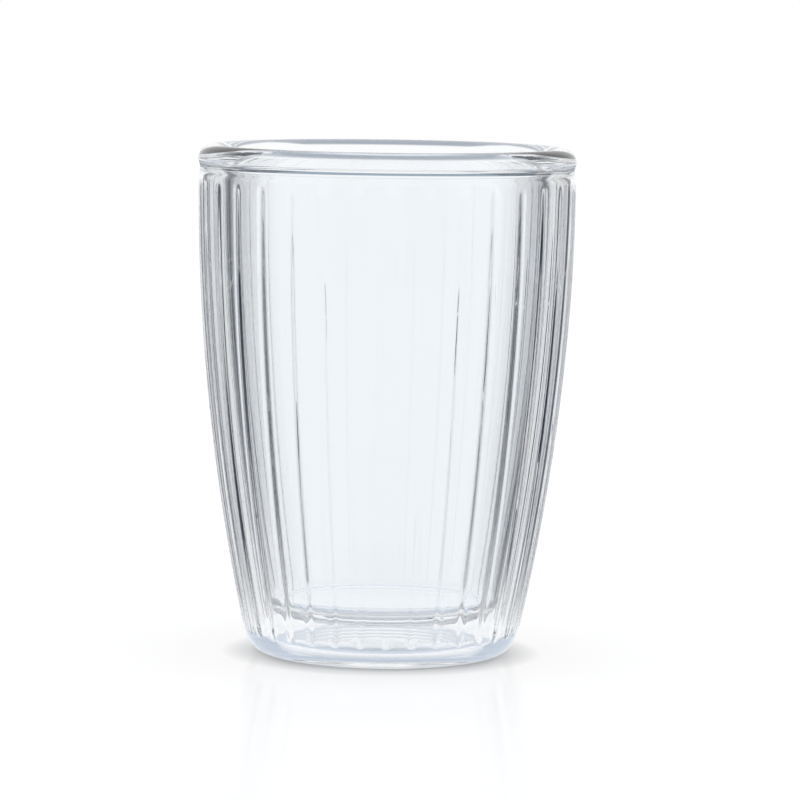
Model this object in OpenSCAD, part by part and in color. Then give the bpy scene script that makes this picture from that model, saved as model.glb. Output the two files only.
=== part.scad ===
// Double-walled espresso glass: a ribbed outer wall and a plain inner bowl, fused at the rim,
// with the air between them sealed by a clear plug in the base.
// Millimetres, +Z up, origin at the centre of the foot ring on the table.

/* [Outline] */
// Overall height, foot to rim crest
cup_h = 82; // [76:0.5:86]
// Largest diameter of the outer wall, over its ribs
body_d = 61; // [60:0.5:66]
// Radius of the long arc that bows the side in towards the foot
bow_r = 349; // [340:1:420]
// How far below the rim crest the side stands upright
bow_drop = 3; // [2:0.5:6]
// Rounding from the side into the foot
heel_r = 4; // [3:0.25:4.5]

/* [Walls] */
// Thickness of the outer wall, over its ribs
outer_t = 1.4; // [1.2:0.1:1.7]
// Width of the sealed air space between the walls
air_gap = 2.7; // [2.4:0.1:3]
// Thickness of the inner wall
inner_t = 1.2; // [1:0.1:1.5]
// Thickness of the outer wall's base at its edge
base_t = 1.8; // [1.7:0.1:2.4]
// Height of the underside of the inner floor
floor_z = 6.5; // [6:0.25:8]
// Thickness of the inner floor
floor_t = 2; // [1.6:0.1:2.6]
// Outer rounding from the inner wall into its floor
bowl_r = 3.2; // [3:0.1:4.5]

/* [Rim] */
// Depth of the fused rim below its crest
rim_h = 5; // [5:0.25:6]
// Rounding of the rim's outer edge
bead_r = 2.4; // [2.2:0.1:2.6]
// Radius of the rim's outer edge, less than the wall's
bead_inset = 0.1; // [0:0.05:0.1]
// Glass over the top of the air space
rim_t = 2.6; // [2.2:0.1:2.7]
// Depth of the neck between the rim's bead and the wall
neck_depth = 0.15; // [0.15:0.05:0.3]
// Share of the air space's top taken by its tighter outer corner
gap_share = 0.25; // [0.25:0.05:0.5]

/* [Ribs] */
// Number of upright ribs round the outer wall
ribs = 34; // [24:1:40]
// Turn of the first rib from the front, towards +X
rib_turn = 2.2; // [0:0.1:10]
// How far a rib stands out from the wall between the ribs
rib_h = 0.25; // [0.25:0.05:0.4]
// Width of a rib
rib_w = 1.5; // [1.2:0.1:1.5]
// Height of the ribs' lower ends
rib_low = 3.75; // [3.5:0.25:8]
// Clear band between the ribs' upper ends and the fused rim
rib_clear = 0.6; // [0.6:0.1:4]

/* [Vent] */
// Radius of the vent hole in the base
vent_r = 2.5; // [2:0.1:3]
// Radius of the plug's head in its seat under the base
plug_r = 5.2; // [4.5:0.1:6]
// Thickness of the plug's head
head_t = 0.5; // [0.4:0.1:0.7]
// Rise of the hollow under the base, inside the foot ring
punt_h = 0.6; // [0.3:0.05:0.7]
// Radius of the hollow under the base
punt_r = 15.5; // [12:0.5:15.5]

/* [Hidden] */
$fn = 96;
fine = 720;
body_r = body_d / 2;
wall_r = body_r - rib_h;
bow_x = body_r - bow_r;
bow_z = cup_h - bow_drop;
weld_z = cup_h - rim_h;
bowl_depth = outer_t + air_gap;
inside_depth = bowl_depth + inner_t;
seat_z = punt_h + head_t;
rib_r = (pow(rib_w / 2, 2) + pow(rib_h, 2)) / (2 * rib_h);
over = 1;
graze = 0.01;
arc_steps = 12;
far = 2 * body_r;

// Radius of the side at height z, depth in from the outside
function side_r(z, depth) = bow_x + sqrt(pow(bow_r - depth, 2) - pow(z - bow_z, 2));

// Points along an arc of radius r round [x, z], from one angle to another
function arc(x, z, r, from, to) =
  [for (i = [0 : arc_steps]) let (a = from + (to - from) * i / arc_steps) [x + r * cos(a), z + r * sin(a)]];

// Half outline of everything inside the bowed side, from a flat floor to a flat top
module bowl_outline(depth, floor, corner, top) {
  reach = bow_r - depth - corner;
  turn = asin((bow_z - floor - corner) / reach);
  x = bow_x + reach * cos(turn) + graze;
  z = floor + corner;
  intersection() {
    translate([bow_x, bow_z])
      circle(r = bow_r - depth, $fn = fine);
    polygon(concat(
      [[0, floor]],
      arc(x, z, corner, -90, -turn),
      [[far, z - corner * sin(turn)], [far, top], [0, top]]
    ));
  }
}

// Half outline of the shallow dome under the base
module punt_outline() {
  dome_r = (pow(punt_r, 2) + pow(punt_h, 2)) / (2 * punt_h);
  intersection() {
    translate([0, punt_h - dome_r])
      circle(r = dome_r, $fn = fine);
    translate([0, -over])
      square([punt_r, punt_h + over]);
  }
}

// One rib, swept down the side along its bow and rounded at both ends
module rib() {
  path_r = bow_r - rib_r;
  low = asin((rib_low + rib_w / 2 - bow_z) / path_r);
  high = asin((weld_z - rib_clear - rib_w / 2 - bow_z) / path_r);
  translate([bow_x, 0, bow_z])
    rotate([90, 0, 0]) {
      rotate([0, 0, low])
        rotate_extrude(angle = high - low, $fn = fine)
          translate([path_r, 0])
            circle(r = rib_r, $fn = 48);
      for (end = [low, high])
        rotate([0, 0, end])
          translate([path_r, 0, 0])
            sphere(r = rib_r + graze, $fn = 48);
    }
}

// Blown outer wall with its ribs, foot and vent hole
module outer_wall() {
  color([0.86, 0.9, 0.94, 0.4])
    difference() {
      union() {
        rotate_extrude($fn = fine)
          bowl_outline(rib_h, 0, heel_r, weld_z);
        for (i = [0 : ribs - 1])
          rotate([0, 0, rib_turn - 90 + i * 360 / ribs])
            rib();
      }
      rotate_extrude($fn = fine)
        bowl_outline(outer_t, base_t, heel_r - outer_t / 2, weld_z + over);
      rotate_extrude($fn = fine)
        punt_outline();
      translate([0, 0, -over])
        cylinder(r = vent_r, h = base_t + 2 * over);
      translate([0, 0, -over])
        cylinder(r = plug_r, h = seat_z + over);
    }
}

// Blown inner bowl that holds the drink
module inner_wall() {
  color([0.88, 0.91, 0.95, 0.4])
    rotate_extrude($fn = fine)
      difference() {
        bowl_outline(bowl_depth, floor_z, bowl_r, weld_z);
        bowl_outline(inside_depth, floor_z + floor_t, bowl_r - inner_t, weld_z + over);
      }
}

// Ring of glass melted from both walls' edges, with the rounded drinking edge
module fused_rim() {
  wide = side_r(weld_z, outer_t);
  narrow = side_r(weld_z, bowl_depth);
  inside = side_r(weld_z, inside_depth);
  bead_out = body_r - bead_inset;
  crest_x = bead_out - bead_r;
  bead_z = cup_h - bead_r;
  lip_r = crest_x - inside;
  neck_half = 0.45 * (bead_z - weld_z);
  neck_dip = bead_out - wall_r + neck_depth;
  neck_r = (pow(neck_half, 2) + pow(neck_dip, 2)) / (2 * neck_dip);
  neck_x = wall_r + neck_r - neck_depth;
  neck_z = (weld_z + bead_z) / 2;
  neck_low = acos((neck_x - wall_r) / neck_r);
  neck_high = acos((neck_x - bead_out) / neck_r);
  shoulder_r = (wide - narrow) * gap_share;
  vault_r = wide - narrow - shoulder_r;
  vault_x = narrow + vault_r;
  vault_z = cup_h - rim_t;
  color([0.84, 0.88, 0.92, 0.5])
    rotate_extrude($fn = fine)
      polygon(concat(
        [[side_r(weld_z, rib_h), weld_z]],
        arc(neck_x, neck_z, neck_r, 180 + neck_low, 180 - neck_high),
        arc(crest_x, bead_z, bead_r, 0, 90),
        arc(crest_x, cup_h - lip_r, lip_r, 90 + 90 / arc_steps, 180),
        [[inside, weld_z], [narrow, weld_z]],
        arc(vault_x, vault_z - vault_r, vault_r, 180, 90),
        arc(vault_x, vault_z - shoulder_r, shoulder_r, 90 - 90 / arc_steps, 0),
        [[wide, weld_z]]
      ));
}

// Clear soft plug: head in its seat, stem in the vent hole, flush with the base inside
module vent_plug() {
  color([0.9, 0.92, 0.93, 0.7])
    rotate_extrude($fn = fine)
      polygon([
        [0, punt_h], [plug_r, punt_h], [plug_r, seat_z],
        [vent_r, seat_z], [vent_r, base_t], [0, base_t]
      ]);
}

outer_wall();
inner_wall();
fused_rim();
vent_plug();
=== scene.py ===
import math

import bpy
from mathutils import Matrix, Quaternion, Vector


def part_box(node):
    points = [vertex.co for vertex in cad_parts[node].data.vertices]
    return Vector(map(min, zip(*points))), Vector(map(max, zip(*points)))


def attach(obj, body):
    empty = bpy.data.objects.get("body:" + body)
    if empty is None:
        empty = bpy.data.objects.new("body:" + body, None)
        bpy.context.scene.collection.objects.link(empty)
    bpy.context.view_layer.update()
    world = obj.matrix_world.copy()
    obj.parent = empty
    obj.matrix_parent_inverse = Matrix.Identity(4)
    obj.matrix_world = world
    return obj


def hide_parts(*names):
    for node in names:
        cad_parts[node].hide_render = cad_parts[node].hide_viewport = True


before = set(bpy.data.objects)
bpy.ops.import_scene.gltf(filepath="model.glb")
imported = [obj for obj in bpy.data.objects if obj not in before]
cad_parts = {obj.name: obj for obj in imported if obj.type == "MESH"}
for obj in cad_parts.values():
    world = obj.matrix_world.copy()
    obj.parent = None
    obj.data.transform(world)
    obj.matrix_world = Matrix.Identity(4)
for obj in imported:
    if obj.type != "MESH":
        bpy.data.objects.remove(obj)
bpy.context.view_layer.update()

# Outer wall: a shell of clear borosilicate glass, blown into a mould whose upright slots raise ribs on
# its bowed side, with a base on a flat foot ring. Its top edge is melted into the rim.
mm = 0.001
weld_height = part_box("outer_wall")[1][2]
cup_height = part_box("fused_rim")[1][2]
bow_radius = 349 * mm
bow_height = cup_height - 3 * mm
body_radius = 30.5 * mm
bow_centre = body_radius - bow_radius
rib_height = 0.25 * mm
rib_width = 1.5 * mm
outer_thickness = 1.4 * mm
base_thickness = 1.8 * mm
heel_rounding = 4 * mm
punt_radius = 15.5 * mm
punt_rise = 0.6 * mm
plug_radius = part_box("vent_plug")[1][0]
plug_head = 0.5 * mm
seat_height = punt_rise + plug_head
vent_radius = 2.5 * mm
rib_count = 34
front_bearing = -90
rib_turn = math.radians(front_bearing + 2.2)
rib_low = 3.75 * mm
rib_clear = 0.6 * mm
rib_fade_height = 16 * mm
rib_softness = 0.04 * mm
spokes_per_rib = 22
crease_angle = 0.7


def side_radius(height, depth):
    """Radius of the bowed side at a height, some depth in from the outside."""
    return bow_centre + math.sqrt((bow_radius - depth) ** 2 - (height - bow_height) ** 2)


def side_points(depth, start, end, count):
    """Points down or up the bowed side, closer together near both ends."""
    heights = [start + (end - start) * (1 - math.cos(math.pi * i / count)) / 2 for i in range(count + 1)]
    return [(side_radius(z, depth), z) for z in heights]


def arc_points(x, z, radius, start, end, count):
    """Points along an arc, from one angle to another in degrees."""
    angles = [math.radians(start + (end - start) * i / count) for i in range(count + 1)]
    return [(x + radius * math.cos(a), z + radius * math.sin(a)) for a in angles]


def bowl_corner(depth, floor, rounding):
    """Centre of the rounding from the side into a flat floor, and the angle at which it meets the side."""
    reach = bow_radius - depth - rounding
    turn = math.asin((bow_height - floor - rounding) / reach)
    return bow_centre + reach * math.cos(turn), floor + rounding, math.degrees(turn)


def spin_tree():
    """Geometry Nodes: spins a half outline round the axis, and raises ribs where the outline is marked."""
    tree = bpy.data.node_groups.new("Spun glass", "GeometryNodeTree")
    face = tree.interface
    face.new_socket("Mesh", in_out="OUTPUT", socket_type="NodeSocketGeometry")
    face.new_socket("Outline", in_out="INPUT", socket_type="NodeSocketGeometry")
    for name, kind in [
        ("Spokes", "Int"), ("Ribs", "Int"), ("Turn", "Float"), ("Crowding", "Float"),
        ("Rib Height", "Float"), ("Rib Width", "Float"), ("Low", "Float"), ("High", "Float"),
        ("Run Out", "Float"), ("Fade", "Float"), ("Fade Height", "Float"), ("Softness", "Float"),
        ("Glass", "Material"), ("Seam", "Material"),
    ]:
        face.new_socket(name, in_out="INPUT", socket_type="NodeSocket" + kind)
    nodes, links = tree.nodes, tree.links
    given = nodes.new("NodeGroupInput").outputs

    def put(socket, value):
        if isinstance(value, bpy.types.NodeSocket):
            links.new(value, socket)
        else:
            socket.default_value = value

    def math_node(operation, *values):
        node = nodes.new("ShaderNodeMath")
        node.operation = operation
        for socket, value in zip(node.inputs, values):
            put(socket, value)
        return node.outputs[0]

    def sample(kind, value, index):
        node = nodes.new("GeometryNodeSampleIndex")
        node.data_type = kind
        put(node.inputs["Geometry"], given["Outline"])
        put(node.inputs["Value"], value)
        put(node.inputs["Index"], index)
        return node.outputs["Value"]

    size = nodes.new("GeometryNodeAttributeDomainSize")
    put(size.inputs["Geometry"], given["Outline"])
    points = size.outputs["Point Count"]
    grid = nodes.new("GeometryNodeMeshGrid")
    put(grid.inputs["Vertices X"], math_node("ADD", given["Spokes"], 1))
    put(grid.inputs["Vertices Y"], points)
    index = nodes.new("GeometryNodeInputIndex").outputs[0]
    spoke = math_node("FLOOR", math_node("DIVIDE", math_node("ADD", index, 0.5), points))
    along = math_node("SUBTRACT", index, math_node("MULTIPLY", spoke, points))

    def mark(name):
        node = nodes.new("GeometryNodeInputNamedAttribute")
        node.data_type = "FLOAT"
        put(node.inputs["Name"], name)
        return node.outputs["Attribute"]

    stretches = math_node("SUBTRACT", points, 1)
    before = math_node("FLOOR", math_node("DIVIDE", math_node("ADD", index, 0.5), stretches))
    stretch = math_node("SUBTRACT", index, math_node("MULTIPLY", before, stretches))
    marked = nodes.new("GeometryNodeStoreNamedAttribute")
    marked.data_type = "FLOAT"
    marked.domain = "FACE"
    put(marked.inputs["Geometry"], grid.outputs["Mesh"])
    put(marked.inputs["Name"], "fused")
    put(marked.inputs["Value"], sample("FLOAT", mark("fused"), stretch))
    place = nodes.new("ShaderNodeSeparateXYZ")
    put(place.inputs[0], sample("FLOAT_VECTOR", nodes.new("GeometryNodeInputPosition").outputs[0], along))
    radius, height = place.outputs["X"], place.outputs["Z"]
    even = math_node("MULTIPLY", math_node("DIVIDE", spoke, given["Spokes"]), math.tau)
    wave = math_node("SINE", math_node("MULTIPLY", even, given["Ribs"]))
    crowd = math_node("DIVIDE", math_node("MULTIPLY", wave, given["Crowding"]), given["Ribs"])
    angle = math_node("SUBTRACT", even, crowd)

    pitch = math_node("DIVIDE", math.tau, given["Ribs"])
    half = math_node("MULTIPLY", pitch, 0.5)
    aside = math_node("MULTIPLY", math_node("WRAP", angle, half, math_node("MULTIPLY", half, -1.0)), radius)
    below = math_node("MAXIMUM", math_node("SUBTRACT", given["Low"], height), 0.0)
    above = math_node("MAXIMUM", math_node("SUBTRACT", height, given["High"]), 0.0)
    past = math_node("ADD", math_node("POWER", below, 2.0), math_node("POWER", above, 2.0))
    rise = math_node("DIVIDE", past, math_node("MULTIPLY", given["Run Out"], 2.0))
    fade = nodes.new("ShaderNodeMapRange")
    put(fade.inputs["Value"], height)
    put(fade.inputs["From Min"], given["High"])
    put(fade.inputs["From Max"], math_node("SUBTRACT", given["High"], given["Fade Height"]))
    put(fade.inputs["To Min"], math_node("SUBTRACT", 1.0, given["Fade"]))
    tall = math_node("MULTIPLY", given["Rib Height"], fade.outputs[0])
    across = math_node("DIVIDE", aside, math_node("MULTIPLY", given["Rib Width"], 0.5))
    crown = math_node("MULTIPLY", tall, math_node("SUBTRACT", 1.0, math_node("POWER", across, 2.0)))
    raw = math_node("SUBTRACT", crown, rise)
    soft = math_node("POWER", given["Softness"], 2.0)
    root = math_node("SQRT", math_node("ADD", math_node("POWER", raw, 2.0), soft))
    bulge = math_node("MULTIPLY", math_node("ADD", raw, root), 0.5)
    bulge = math_node("MULTIPLY", bulge, sample("FLOAT", mark("ribbed"), along))
    spun = math_node("ADD", radius, bulge)
    turned = math_node("ADD", angle, given["Turn"])
    join = nodes.new("ShaderNodeCombineXYZ")
    put(join.inputs["X"], math_node("MULTIPLY", spun, math_node("COSINE", turned)))
    put(join.inputs["Y"], math_node("MULTIPLY", spun, math_node("SINE", turned)))
    put(join.inputs["Z"], height)

    moved = nodes.new("GeometryNodeSetPosition")
    put(moved.inputs["Geometry"], marked.outputs["Geometry"])
    put(moved.inputs["Position"], join.outputs[0])
    merged = nodes.new("GeometryNodeMergeByDistance")
    put(merged.inputs["Geometry"], moved.outputs[0])
    put(merged.inputs["Distance"], 1e-6)
    flipped = nodes.new("GeometryNodeFlipFaces")
    put(flipped.inputs["Mesh"], merged.outputs[0])
    bare = nodes.new("GeometryNodeDeleteGeometry")
    bare.domain = "EDGE"
    bare.mode = "EDGE_FACE"
    put(bare.inputs["Geometry"], flipped.outputs[0])
    beside = nodes.new("GeometryNodeInputMeshEdgeNeighbors").outputs["Face Count"]
    put(bare.inputs["Selection"], math_node("LESS_THAN", beside, 0.5))
    smooth = nodes.new("GeometryNodeSetShadeSmooth")
    put(smooth.inputs["Geometry"], bare.outputs[0])
    crease = nodes.new("GeometryNodeInputMeshEdgeAngle")
    sharp = nodes.new("GeometryNodeSetShadeSmooth")
    sharp.domain = "EDGE"
    put(sharp.inputs["Geometry"], smooth.outputs[0])
    put(sharp.inputs["Selection"], math_node("GREATER_THAN", crease.outputs["Unsigned Angle"], crease_angle))
    put(sharp.inputs["Shade Smooth"], False)
    whole = nodes.new("GeometryNodeRealizeInstances")
    put(whole.inputs["Geometry"], sharp.outputs[0])
    glass = nodes.new("GeometryNodeSetMaterial")
    put(glass.inputs["Geometry"], whole.outputs[0])
    put(glass.inputs["Material"], given["Glass"])
    seam = nodes.new("GeometryNodeSetMaterial")
    put(seam.inputs["Geometry"], glass.outputs[0])
    put(seam.inputs["Selection"], math_node("GREATER_THAN", mark("fused"), 0.5))
    put(seam.inputs["Material"], given["Seam"])
    put(nodes.new("NodeGroupOutput").inputs["Mesh"], seam.outputs[0])
    return tree


def spun_glass(name, outline, glass, ribbed=(), fused=()):
    """A plain mesh spun from a half outline. ribbed holds the points that carry the ribs, and fused the
    points after which the outline runs along a neighbour that it is fused to."""
    mesh = bpy.data.meshes.new(name)
    count = len(outline)
    mesh.from_pydata([(r, 0, z) for r, z in outline], [(i, i + 1) for i in range(count - 1)], [])
    for mark, chosen in (("ribbed", ribbed), ("fused", fused)):
        values = [1.0 if i in chosen else 0.0 for i in range(count)]
        mesh.attributes.new(mark, "FLOAT", "POINT").data.foreach_set("value", values)
    piece = bpy.data.objects.new(name, mesh)
    bpy.context.scene.collection.objects.link(piece)
    spin = piece.modifiers.new("Spin", "NODES")
    spin.node_group = glass_spin
    inputs = [item for item in glass_spin.interface.items_tree if item.in_out == "INPUT"]
    sockets = {item.name: item.identifier for item in inputs}
    for key, value in {
        "Spokes": rib_count * spokes_per_rib,
        "Ribs": rib_count,
        "Turn": rib_turn,
        "Crowding": 0.7,
        "Rib Height": rib_height,
        "Rib Width": rib_width,
        "Low": rib_low + rib_width / 2,
        "High": weld_height - rib_clear - rib_width / 2,
        "Run Out": rib_width,
        "Fade": 0.5,
        "Fade Height": rib_fade_height,
        "Softness": rib_softness,
        "Glass": glass,
        "Seam": fused_seam,
    }.items():
        spin[sockets[key]] = value
    bpy.context.view_layer.update()
    seen = piece.evaluated_get(bpy.context.evaluated_depsgraph_get())
    plain = bpy.data.meshes.new_from_object(seen)
    piece.modifiers.remove(spin)
    piece.data = plain
    bpy.data.meshes.remove(mesh)
    plain.name = name
    for mark in [a.name for a in plain.attributes if a.name in ("ribbed", "fused")]:
        plain.attributes.remove(plain.attributes[mark])
    for slot in reversed([i for i, m in enumerate(plain.materials) if m is None]):
        plain.materials.pop(index=slot)
    return piece


def blown_glass_group():
    """Shader group: the slow ripple, faint haze and tint that blown glass has all over."""
    group = bpy.data.node_groups.new("Blown glass", "ShaderNodeTree")
    group.interface.new_socket("Ripple Scale", in_out="INPUT", socket_type="NodeSocketFloat")
    group.interface.new_socket("Pale", in_out="INPUT", socket_type="NodeSocketColor")
    group.interface.new_socket("Deep", in_out="INPUT", socket_type="NodeSocketColor")
    group.interface.new_socket("Ripple", in_out="OUTPUT", socket_type="NodeSocketFloat")
    group.interface.new_socket("Haze", in_out="OUTPUT", socket_type="NodeSocketFloat")
    group.interface.new_socket("Tint", in_out="OUTPUT", socket_type="NodeSocketColor")
    nodes, links = group.nodes, group.links
    given = nodes.new("NodeGroupInput").outputs
    out = nodes.new("NodeGroupOutput").inputs
    where = nodes.new("ShaderNodeTexCoord").outputs["Object"]
    stretch = nodes.new("ShaderNodeMapping")
    stretch.inputs["Scale"].default_value = (1, 1, 0.35)
    links.new(where, stretch.inputs["Vector"])
    ripple = nodes.new("ShaderNodeTexNoise")
    ripple.inputs["Detail"].default_value = 1
    links.new(stretch.outputs[0], ripple.inputs["Vector"])
    links.new(given["Ripple Scale"], ripple.inputs["Scale"])
    links.new(ripple.outputs["Fac"], out["Ripple"])
    haze = nodes.new("ShaderNodeMapRange")
    haze.inputs["To Min"].default_value = 0.0
    haze.inputs["To Max"].default_value = 0.004
    links.new(ripple.outputs["Fac"], haze.inputs["Value"])
    links.new(haze.outputs[0], out["Haze"])
    tint = nodes.new("ShaderNodeMix")
    tint.data_type = "RGBA"
    links.new(ripple.outputs["Fac"], tint.inputs["Factor"])
    links.new(given["Pale"], tint.inputs["A"])
    links.new(given["Deep"], tint.inputs["B"])
    links.new(tint.outputs["Result"], out["Tint"])
    return group


def glass_material(name, ripple_scale, ripple_height, pale, deep):
    """Clear glass with its own ripple and tint."""
    material = bpy.data.materials.new(name)
    material.use_nodes = True
    nodes, links = material.node_tree.nodes, material.node_tree.links
    glass = nodes["Principled BSDF"]
    glass.inputs["Transmission Weight"].default_value = 1
    glass.inputs["IOR"].default_value = 1.47
    blown = nodes.new("ShaderNodeGroup")
    blown.node_tree = blown_glass
    blown.inputs["Ripple Scale"].default_value = ripple_scale
    blown.inputs["Pale"].default_value = (*pale, 1)
    blown.inputs["Deep"].default_value = (*deep, 1)
    bump = nodes.new("ShaderNodeBump")
    bump.inputs["Strength"].default_value = 1
    bump.inputs["Distance"].default_value = ripple_height
    links.new(blown.outputs["Ripple"], bump.inputs["Height"])
    links.new(bump.outputs[0], glass.inputs["Normal"])
    links.new(blown.outputs["Haze"], glass.inputs["Roughness"])
    links.new(blown.outputs["Tint"], glass.inputs["Base Color"])
    return material


def seam_material():
    """Fused faces: the glass runs on through them, so they show nothing."""
    material = bpy.data.materials.new("fused seam")
    material.use_nodes = True
    nodes, links = material.node_tree.nodes, material.node_tree.links
    nodes.remove(nodes["Principled BSDF"])
    clear = nodes.new("ShaderNodeBsdfTransparent")
    links.new(clear.outputs[0], nodes["Material Output"].inputs["Surface"])
    return material


glass_spin = spin_tree()
blown_glass = blown_glass_group()
fused_seam = seam_material()
outer_glass = glass_material("outer glass", 60, 0.02 * mm, (0.98, 0.987, 0.993), (0.963, 0.976, 0.986))

heel_x, heel_z, heel_turn = bowl_corner(rib_height, 0, heel_rounding)
hollow_rounding = heel_rounding - outer_thickness / 2
hollow_x, hollow_z, hollow_turn = bowl_corner(outer_thickness, base_thickness, hollow_rounding)
heel_meet = heel_z - heel_rounding * math.sin(math.radians(heel_turn))
hollow_meet = hollow_z - hollow_rounding * math.sin(math.radians(hollow_turn))
dome_radius = (punt_radius**2 + punt_rise**2) / (2 * punt_rise)
outside = side_points(rib_height, weld_height, heel_meet, 56)
heel = arc_points(heel_x, heel_z, heel_rounding, -heel_turn, -90, 12)[1:]
punt_steps = 6
punt_edges = [punt_radius + (plug_radius - punt_radius) * i / punt_steps for i in range(punt_steps + 1)]
punt = [(r, punt_rise - dome_radius + math.sqrt(dome_radius**2 - r**2)) for r in punt_edges]
seat = [(plug_radius, seat_height), (vent_radius, seat_height), (vent_radius, base_thickness)]
base_top = [(vent_radius + (hollow_x - vent_radius) * i / 5, base_thickness) for i in range(1, 5)]
hollow = arc_points(hollow_x, hollow_z, hollow_rounding, -90, -hollow_turn, 8)
inside = side_points(outer_thickness, hollow_meet, weld_height, 26)[1:]
outline = outside + heel + punt + seat + base_top + hollow + inside + outside[:1]
last = len(outline) - 1
ribbed = range(1, len(outside) + len(heel))
vent = [outline.index(point) for point in (punt[-1], *seat[:2])]
outer_wall = spun_glass("outer_wall_glass", outline, outer_glass, ribbed, [*vent, last - 1])
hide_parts("outer_wall")
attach(outer_wall, "root")

# Inner wall: the plain blown bowl that holds the drink, of the same clear glass, with a flat floor.
# It hangs inside the outer wall from the rim alone, with sealed air all round it.
air_gap = 2.7 * mm
inner_thickness = 1.2 * mm
floor_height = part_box("inner_wall")[0][2]
floor_thickness = 2 * mm
bowl_rounding = 3.2 * mm
bowl_depth = outer_thickness + air_gap
inside_depth = bowl_depth + inner_thickness
inner_glass = glass_material("inner glass", 50, 0.02 * mm, (0.98, 0.987, 0.993), (0.963, 0.976, 0.986))

under_x, under_z, under_turn = bowl_corner(bowl_depth, floor_height, bowl_rounding)
under_meet = under_z - bowl_rounding * math.sin(math.radians(under_turn))
drink_floor = floor_height + floor_thickness
drink_rounding = bowl_rounding - inner_thickness
drink_x, drink_z, drink_turn = bowl_corner(inside_depth, drink_floor, drink_rounding)
drink_meet = drink_z - drink_rounding * math.sin(math.radians(drink_turn))
outside = side_points(bowl_depth, weld_height, under_meet, 40)
under = arc_points(under_x, under_z, bowl_rounding, -under_turn, -90, 14)[1:]
under += [(under_x * (1 - i / 10), floor_height) for i in range(1, 11)]
floor_top = [(drink_x * i / 10, drink_floor) for i in range(10)]
floor_top += arc_points(drink_x, drink_z, drink_rounding, -90, -drink_turn, 14)
inside = side_points(inside_depth, drink_meet, weld_height, 40)[1:]
outline = outside + under + floor_top + inside + outside[:1]
inner_wall = spun_glass("inner_wall_glass", outline, inner_glass, fused=[len(outline) - 2])
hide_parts("inner_wall")
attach(inner_wall, "root")

# Fused rim: the ring where the two walls' edges are melted together in the flame. It closes the air
# space under a rounded vault and is drawn up into the thick, round drinking edge.
bead_radius = 2.4 * mm
bead_inset = 0.1 * mm
rim_thickness = 2.6 * mm
neck_depth = 0.15 * mm
shoulder_share = 0.25
rim_glass = glass_material("rim glass", 60, 0.02 * mm, (0.98, 0.987, 0.993), (0.963, 0.976, 0.986))

wall_radius = body_radius - rib_height
bead_out = body_radius - bead_inset
crest_x = bead_out - bead_radius
bead_z = cup_height - bead_radius
lip_edge = side_radius(weld_height, inside_depth)
lip_radius = crest_x - lip_edge
neck_half = 0.45 * (bead_z - weld_height)
neck_dip = bead_out - wall_radius + neck_depth
neck_radius = (neck_half**2 + neck_dip**2) / (2 * neck_dip)
neck_x = wall_radius + neck_radius - neck_depth
neck_z = (weld_height + bead_z) / 2
neck_low = math.degrees(math.acos((neck_x - wall_radius) / neck_radius))
neck_high = math.degrees(math.acos((neck_x - bead_out) / neck_radius))
wide = side_radius(weld_height, outer_thickness)
narrow = side_radius(weld_height, bowl_depth)
shoulder_radius = (wide - narrow) * shoulder_share
vault_radius = wide - narrow - shoulder_radius
vault_x = narrow + vault_radius
vault_z = cup_height - rim_thickness
outline = [(lip_edge, weld_height)]
outline += arc_points(crest_x, cup_height - lip_radius, lip_radius, 180, 90, 24)
outline += arc_points(crest_x, bead_z, bead_radius, 90, 0, 24)[1:]
outline += arc_points(neck_x, neck_z, neck_radius, 180 - neck_high, 180 + neck_low, 10)
outline += [(side_radius(weld_height, rib_height), weld_height), (wide, weld_height)]
outline += arc_points(vault_x, vault_z - shoulder_radius, shoulder_radius, 0, 90, 14)
outline += arc_points(vault_x, vault_z - vault_radius, vault_radius, 90, 180, 20)[1:]
outline += [(narrow, weld_height), outline[0]]
welds = [i for i in range(len(outline) - 1) if outline[i][1] == outline[i + 1][1] == weld_height]
fused_rim = spun_glass("fused_rim_glass", outline, rim_glass, fused=welds)
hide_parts("fused_rim")
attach(fused_rim, "root")

# Vent plug: a soft clear silicone button, moulded in one piece and bonded into the vent hole from
# below. Its head lies in the seat under the base and its stem fills the hole up to the inside.


def silicone_material():
    """Clear silicone with a faint moulding grain."""
    material = bpy.data.materials.new("clear silicone")
    material.use_nodes = True
    nodes, links = material.node_tree.nodes, material.node_tree.links
    soft = nodes["Principled BSDF"]
    soft.inputs["Transmission Weight"].default_value = 1
    soft.inputs["IOR"].default_value = 1.43
    where = nodes.new("ShaderNodeTexCoord")
    grain = nodes.new("ShaderNodeTexNoise")
    grain.inputs["Scale"].default_value = 900
    links.new(where.outputs["Object"], grain.inputs["Vector"])
    rough = nodes.new("ShaderNodeMapRange")
    rough.inputs["To Min"].default_value = 0.02
    rough.inputs["To Max"].default_value = 0.08
    links.new(grain.outputs["Fac"], rough.inputs["Value"])
    links.new(rough.outputs[0], soft.inputs["Roughness"])
    tint = nodes.new("ShaderNodeMix")
    tint.data_type = "RGBA"
    tint.inputs["A"].default_value = (0.98, 0.985, 0.99, 1)
    tint.inputs["B"].default_value = (0.95, 0.96, 0.97, 1)
    links.new(grain.outputs["Fac"], tint.inputs["Factor"])
    links.new(tint.outputs["Result"], soft.inputs["Base Color"])
    return material


plug_edge = 0.15 * mm
outline = [(0, base_thickness), (vent_radius, base_thickness), (vent_radius, seat_height)]
outline += [(plug_radius, seat_height)]
outline += arc_points(plug_radius - plug_edge, punt_rise + plug_edge, plug_edge, 0, -90, 4)
outline += [(0, punt_rise)]
vent_plug = spun_glass("vent_plug_silicone", outline, silicone_material(), fused=[1, 2, 3])
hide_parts("vent_plug")
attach(vent_plug, "root")

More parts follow.
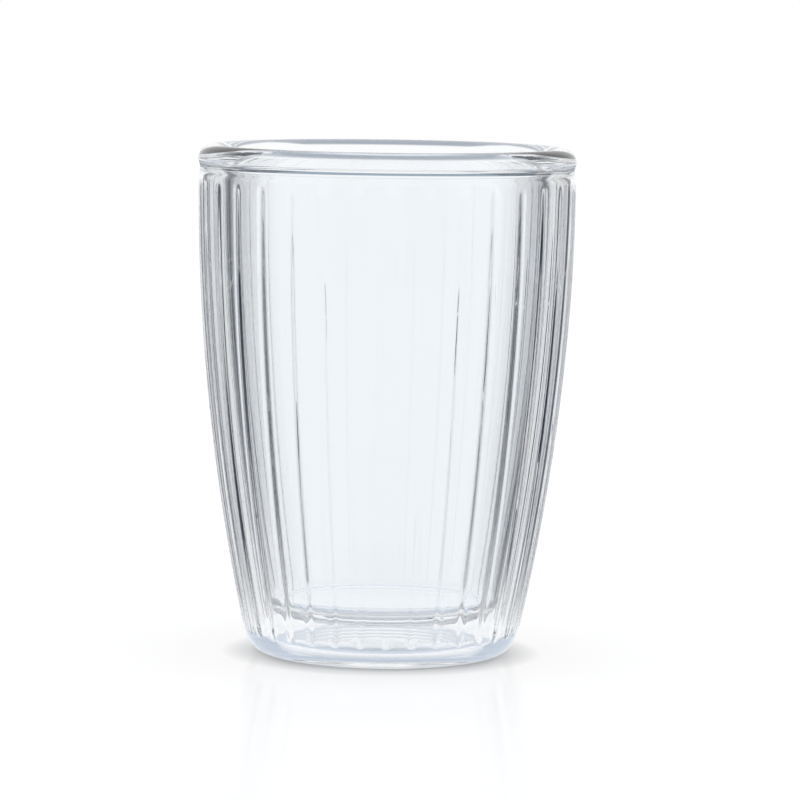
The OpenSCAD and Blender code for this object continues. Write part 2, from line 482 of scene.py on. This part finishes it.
# Studio: a pale glossy floor under soft white light from all round, with a painted pool of light under the
# cup that shows only through the glass, and a painted contact shadow round the foot.
# Dark cards that show only through the glass draw its dark edges. The camera is a little above the rim.
floor_radius = 1.5
floor_shade = (0.34, 0.38, 0.44)
floor_roughness = 0.12
floor_ior = 1.45
camera_glow = (0.71, 0.68, 0.64)
# Painted contact shadow: the floor's glow for the camera is dimmed near the foot, by distance from the cup's
# axis.
painted_shadow_inside = 18 * mm
painted_shadow_outside = 26 * mm
painted_shadow_level = 0.35
# Painted pool of light on the floor, seen only through the glass: a glow brightest round the cup, with a
# painted shadow ring where the foot meets the floor, fading to almost none further out.
painted_pool_radius = 0.07
painted_foot_ring_tone = (0.4, 0.44, 0.49)
mirror_share = 0.3
mirror_start = 0.46
mirror_full = 0.56


def node_maths(nodes, links):
    """A function that adds a Math node, given its operation and values or sockets."""

    def add(operation, *values):
        node = nodes.new("ShaderNodeMath")
        node.operation = operation
        for socket, value in zip(node.inputs, values):
            if isinstance(value, bpy.types.NodeSocket):
                links.new(value, socket)
            else:
                socket.default_value = value
        return node.outputs[0]

    return add


def floor_material():
    """Pale floor that keeps the shadow, reads as white, and mirrors the low rays that come through glass; to
    the camera its glow has a painted contact shadow round the foot, and through the glass it shows a painted
    pool of light with a painted shadow ring at the foot.
    """
    material = bpy.data.materials.new("pale floor")
    material.use_nodes = True
    nodes, links = material.node_tree.nodes, material.node_tree.links
    nodes.remove(nodes["Principled BSDF"])
    maths = node_maths(nodes, links)
    matt = nodes.new("ShaderNodeBsdfDiffuse")
    matt.inputs["Color"].default_value = (*floor_shade, 1)
    path = nodes.new("ShaderNodeLightPath").outputs
    bent = maths("MAXIMUM", path["Is Glossy Ray"], path["Is Transmission Ray"])
    seen = path["Is Camera Ray"]
    where = nodes.new("ShaderNodeVectorMath")
    where.operation = "LENGTH"
    links.new(nodes.new("ShaderNodeTexCoord").outputs["Object"], where.inputs[0])
    # The ramp paints the pool of light by distance from the cup's axis, with a darker painted shadow ring
    # under the foot.
    painted_pool = nodes.new("ShaderNodeValToRGB")
    links.new(maths("DIVIDE", where.outputs["Value"], painted_pool_radius), painted_pool.inputs["Fac"])
    stops = painted_pool.color_ramp.elements
    places = (0.21, 0.235, 0.25, 0.285, 0.48, 0.75)
    painted_pool_levels = [(0.55,) * 3, painted_foot_ring_tone, painted_foot_ring_tone, (0.8,) * 3, (0.8,) * 3, (0.03,) * 3]
    for place in places[1:-1]:
        stops.new(place)
    for stop, place, level in zip(stops, places, painted_pool_levels):
        stop.position = place
        stop.color = (*level, 1)
    shown = nodes.new("ShaderNodeMix")
    shown.data_type = "RGBA"
    links.new(seen, shown.inputs["Factor"])
    links.new(painted_pool.outputs["Color"], shown.inputs["A"])
    # Painted contact shadow: dims the camera's floor glow from the foot outwards.
    painted_shadow = nodes.new("ShaderNodeMapRange")
    painted_shadow.inputs["From Min"].default_value = painted_shadow_inside
    painted_shadow.inputs["From Max"].default_value = painted_shadow_outside
    painted_shadow.inputs["To Min"].default_value = painted_shadow_level
    links.new(where.outputs["Value"], painted_shadow.inputs["Value"])
    glow_with_painted_shadow = nodes.new("ShaderNodeVectorMath")
    glow_with_painted_shadow.operation = "SCALE"
    glow_with_painted_shadow.inputs[0].default_value = camera_glow
    links.new(painted_shadow.outputs[0], glow_with_painted_shadow.inputs["Scale"])
    links.new(glow_with_painted_shadow.outputs[0], shown.inputs["B"])
    glow = nodes.new("ShaderNodeEmission")
    links.new(shown.outputs["Result"], glow.inputs["Color"])
    links.new(maths("MAXIMUM", seen, bent), glow.inputs["Strength"])
    both = nodes.new("ShaderNodeAddShader")
    links.new(matt.outputs[0], both.inputs[0])
    links.new(glow.outputs[0], both.inputs[1])
    gloss = nodes.new("ShaderNodeBsdfGlossy")
    gloss.inputs["Color"].default_value = (1, 1, 1, 1)
    gloss.inputs["Roughness"].default_value = floor_roughness
    fresnel = nodes.new("ShaderNodeFresnel")
    fresnel.inputs["IOR"].default_value = floor_ior
    slant = nodes.new("ShaderNodeLayerWeight")
    slant.inputs["Blend"].default_value = 0.5
    through = maths("GREATER_THAN", path["Transmission Depth"], 0.5)
    low = nodes.new("ShaderNodeMapRange")
    low.inputs["From Min"].default_value = mirror_start
    low.inputs["From Max"].default_value = mirror_full
    links.new(slant.outputs["Facing"], low.inputs["Value"])
    mirror = maths("MULTIPLY", low.outputs[0], through)
    faint = maths("MULTIPLY", fresnel.outputs[0], mirror_share)
    coat = nodes.new("ShaderNodeMixShader")
    links.new(maths("MAXIMUM", mirror, faint), coat.inputs["Fac"])
    links.new(both.outputs[0], coat.inputs[1])
    links.new(gloss.outputs[0], coat.inputs[2])
    links.new(coat.outputs[0], nodes["Material Output"].inputs["Surface"])
    return material


def stage_piece(name, points, faces, material):
    """A part of the studio, which isn't part of the cup."""
    mesh = bpy.data.meshes.new(name)
    mesh.from_pydata(points, [], faces)
    mesh.materials.append(material)
    piece = bpy.data.objects.new(name, mesh)
    bpy.context.scene.collection.objects.link(piece)


floor_sides = 96
ring = [math.tau * i / floor_sides for i in range(floor_sides)]
ring = [(floor_radius * math.cos(a), floor_radius * math.sin(a), 0) for a in ring]
stage_piece("floor", ring, [tuple(range(floor_sides))], floor_material())


def card_material(name, tone):
    """Card that shows only through the glass, so it hides and shades nothing else."""
    material = bpy.data.materials.new(name)
    material.use_nodes = True
    nodes, links = material.node_tree.nodes, material.node_tree.links
    nodes.remove(nodes["Principled BSDF"])
    maths = node_maths(nodes, links)
    path = nodes.new("ShaderNodeLightPath").outputs
    bent = maths("MAXIMUM", path["Is Glossy Ray"], path["Is Transmission Ray"])
    through = maths("GREATER_THAN", path["Transmission Depth"], 0.5)
    card = nodes.new("ShaderNodeEmission")
    card.inputs["Color"].default_value = (*tone, 1)
    mixed = nodes.new("ShaderNodeMixShader")
    links.new(maths("MULTIPLY", bent, through), mixed.inputs["Fac"])
    links.new(nodes.new("ShaderNodeBsdfTransparent").outputs[0], mixed.inputs[1])
    links.new(card.outputs[0], mixed.inputs[2])
    links.new(mixed.outputs[0], nodes["Material Output"].inputs["Surface"])
    return material


card_step = 4
card_distance, card_low, card_high = 0.6, 0.0005, 0.16
over_distance, over_low, over_high = 0.5, 0.26, 0.5
black_card = card_material("black card", (0.006, 0.012, 0.03))
grey_card = card_material("grey card", (0.3, 0.37, 0.45))
dark_card = card_material("dark card", (0.1, 0.13, 0.17))
for name, material, first, last, distance, low, high in [
    ("card_left", black_card, 115, 171, card_distance, card_low, card_high),
    ("card_right", black_card, 9, 65, card_distance, card_low, card_high),
    ("card_over", grey_card, 78, 102, over_distance, over_low, over_high),
    ("card_over_left", dark_card, 102, 130, over_distance, over_low, over_high),
    ("card_over_right", dark_card, 50, 78, over_distance, over_low, over_high),
]:
    count = (last - first) // card_step
    bearings = [math.radians(first + card_step * i) for i in range(count + 1)]
    edge = [(distance * math.cos(a), distance * math.sin(a)) for a in bearings]
    points = [(x, y, z) for z in (low, high) for x, y in edge]
    faces = [(i, i + 1, i + count + 2, i + count + 1) for i in range(count)]
    stage_piece(name, points, faces, material)

world = bpy.data.worlds.new("studio")
world.use_nodes = True
world.node_tree.nodes["Background"].inputs["Color"].default_value = (1, 1, 1, 1)

scene = bpy.context.scene
scene.world = world
scene.view_settings.view_transform = "Standard"
glass_bounces = 64
scene.cycles.max_bounces = glass_bounces
scene.cycles.transmission_bounces = glass_bounces
scene.cycles.glossy_bounces = glass_bounces
scene.cycles.transparent_max_bounces = 32

camera_distance = 0.7
camera_height = 0.109
aim = Vector((2.55 * mm, 0, 41 * mm))
picture_roll = math.radians(0.8)
picture_pixels = 800
pixels_per_mm = 6.19
camera_data = bpy.data.cameras.new("camera")
camera = bpy.data.objects.new("camera", camera_data)
scene.collection.objects.link(camera)
camera.location = (aim.x, -camera_distance, camera_height)
view_line = aim - camera.location
camera.rotation_mode = "QUATERNION"
turn = view_line.to_track_quat("-Z", "Y")
camera.rotation_quaternion = turn @ Quaternion((0, 0, 1), picture_roll)
camera_data.sensor_width = 36
picture_width = picture_pixels / pixels_per_mm * mm
camera_data.lens = camera_data.sensor_width * view_line.length / picture_width
camera_data.clip_start = 0.01
camera_data.clip_end = 10
scene.camera = camera
